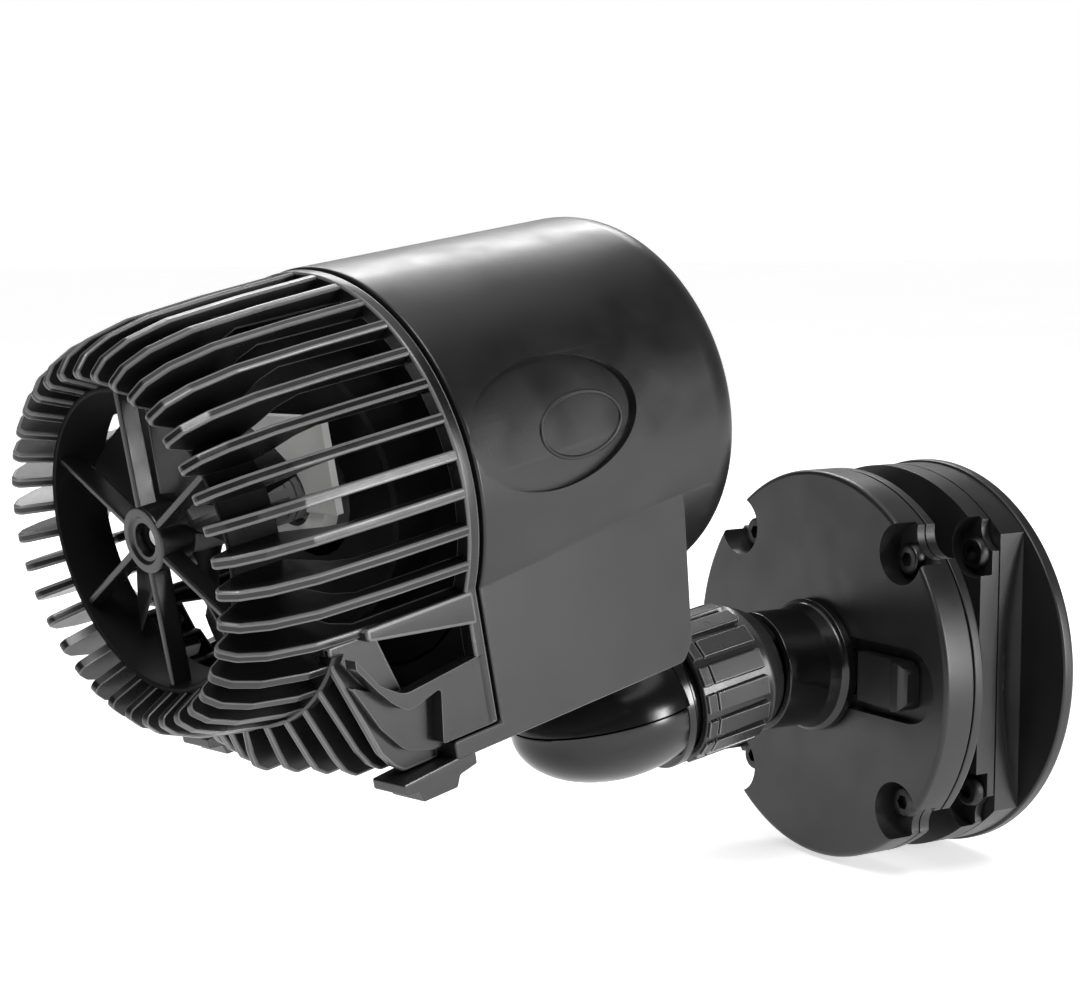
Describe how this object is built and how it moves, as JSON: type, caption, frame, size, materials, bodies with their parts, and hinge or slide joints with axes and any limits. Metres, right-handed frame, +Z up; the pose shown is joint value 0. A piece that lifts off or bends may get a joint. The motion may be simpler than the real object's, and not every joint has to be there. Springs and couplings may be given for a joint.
{
  "type": "wave maker pump",
  "caption": "Submersible circulation pump with a finned intake cage, on a swivelling ball-joint arm held to aquarium glass by a magnet base on each side.",
  "frame": {"origin": "centre of the wet half's rubber pad, on the face that meets the glass", "axes": "+X out of the wet pad into the glass, +Z up; the pump head lies towards -X"},
  "size_m": [0.172, 0.0769, 0.1121],
  "materials": {
    "wet_cover": "satin black ABS, fine moulded sheen",
    "wet_base_plate": "satin black ABS",
    "wet_pad": "soft black non-slip rubber",
    "wet_magnet": "coated ferrite ring",
    "latch_tab": "satin black ABS",
    "dry_cover": "satin black ABS",
    "dry_shell": "satin black ABS",
    "dry_pad": "soft black non-slip rubber",
    "dry_magnet": "coated ferrite ring",
    "neck_ball": "glossy black ABS",
    "neck_clip": "stainless retaining ring",
    "clamp_nut": "satin black ABS, ribbed",
    "elbow_arm": "glossy black ABS",
    "elbow_cap": "glossy black ABS",
    "ball_pad": "friction seat",
    "swivel_screw": "stainless",
    "swivel_washer": "friction washer",
    "motor_housing": "satin black ABS",
    "rotor_well": "matt black ABS",
    "rotor_cover": "pale plastic",
    "well_seal": "o-ring",
    "stator_core": "steel laminations",
    "coil": "enamelled copper winding",
    "potting_plug": "cast epoxy",
    "rear_bush": "bearing bush",
    "front_bush": "bearing bush",
    "shaft": "polished ceramic",
    "cable_gland": "black nylon",
    "gland_nut": "black nylon",
    "cage": "satin black ABS",
    "rotor_magnet": "coated ferrite magnet",
    "rotor_sleeve": "grey plastic",
    "impeller": "dark grey plastic, fluted hub",
    "thrust_washer": "ceramic",
    "screw": "stainless button head"
  },
  "bodies": {
    "glass_base": {"wet_cover": "wet_cover", "wet_base_plate": "wet_base_plate", "wet_magnet": "wet_magnet", "wet_pad": "wet_pad", "wet_screw_1": "screw", "wet_screw_2": "screw", "wet_screw_3": "screw", "wet_screw_4": "screw"},
    "latch": {"latch_tab": "latch_tab"},
    "dry_half": {"dry_cover": "dry_cover", "dry_shell": "dry_shell", "dry_magnet": "dry_magnet", "dry_pad": "dry_pad", "dry_screw_1": "screw", "dry_screw_2": "screw", "dry_screw_3": "screw", "dry_screw_4": "screw"},
    "neck": {"neck_ball": "neck_ball", "neck_clip": "neck_clip"},
    "elbow": {"elbow_arm": "elbow_arm", "elbow_cap": "elbow_cap", "ball_pad": "ball_pad"},
    "nut": {"clamp_nut": "clamp_nut"},
    "pump_head": {"motor_housing": "motor_housing", "rotor_well": "rotor_well", "rotor_cover": "rotor_cover", "well_seal": "well_seal", "stator_core": "stator_core", "coil_1": "coil", "coil_2": "coil", "coil_3": "coil", "coil_4": "coil", "coil_5": "coil", "coil_6": "coil", "potting_plug": "potting_plug", "rear_bush": "rear_bush", "shaft": "shaft", "cable_gland": "cable_gland", "gland_nut": "gland_nut", "swivel_screw": "swivel_screw", "swivel_washer": "swivel_washer"},
    "cage": {"outlet_ring": "cage", "cage_chin": "cage", "cage_panel_1": "cage", "cage_panel_2": "cage", "cage_panel_3": "cage", "cage_panel_4": "cage", "cage_panel_5": "cage", "front_bush": "front_bush"},
    "rotor": {"rotor_magnet": "rotor_magnet", "rotor_sleeve": "rotor_sleeve", "impeller": "impeller", "thrust_washer": "thrust_washer"}
  },
  "joints": [
    {"name": "neck_swivel", "type": "hinge", "parent": "glass_base", "child": "neck", "pos_m": [-0.02, 0, 0], "axis": [1, 0, 0], "range_deg": [-90, 90]},
    {"name": "ball_tilt", "type": "hinge", "parent": "neck", "child": "elbow", "pos_m": [-0.0313, 0, 0], "axis": [0, 1, 0], "range_deg": [-15, 28]},
    {"name": "nut_turn", "type": "hinge", "parent": "elbow", "child": "nut", "pos_m": [-0.0313, 0, 0], "axis": [0.9836, 0, 0.1805], "range_deg": [0, 180]},
    {"name": "head_swivel", "type": "hinge", "parent": "elbow", "child": "pump_head", "pos_m": [-0.05363, 0, -0.0041], "axis": [-0.1805, 0, 0.9836], "range_deg": [-85, 65]},
    {"name": "cage_pull", "type": "slide", "parent": "pump_head", "child": "cage", "axis": [-0.9686, -0.1736, -0.1778], "range_m": [0, 0.05]},
    {"name": "rotor_spin", "type": "hinge", "parent": "pump_head", "child": "rotor", "pos_m": [-0.14107, -0.014, 0.03262], "axis": [0.9686, 0.1736, 0.1778], "continuous": true},
    {"name": "latch_release", "type": "slide", "parent": "glass_base", "child": "latch", "axis": [0, -1, 0], "range_m": [0, 0.0035], "stiffness_N_per_m": 300},
    {"name": "dry_pull", "type": "slide", "parent": "glass_base", "child": "dry_half", "axis": [1, 0, 0], "range_m": [-0.002, 0.06]}
  ]
}
